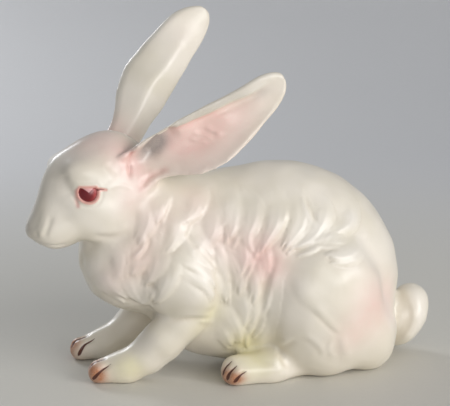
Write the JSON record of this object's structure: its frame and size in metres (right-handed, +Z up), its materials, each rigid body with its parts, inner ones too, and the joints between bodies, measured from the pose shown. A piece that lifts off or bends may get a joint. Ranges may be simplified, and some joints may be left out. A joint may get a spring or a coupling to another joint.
{
  "type": "rabbit figurine",
  "caption": "Glazed ceramic rabbit crouching on its feet, ears up, head turned slightly to its left, tail behind.",
  "frame": {"origin": "middle of the bounding box at the ground under the feet", "axes": "+Z up, +X from nose to tail along the length, the rabbit's left side towards -Y"},
  "size_m": [0.2242, 0.104, 0.1911],
  "materials": {
    "glaze": "clear gloss glaze over ivory white with sprayed pink and painted claws"
  },
  "bodies": {
    "root": {"rabbit": "glaze"}
  },
  "joints": []
}
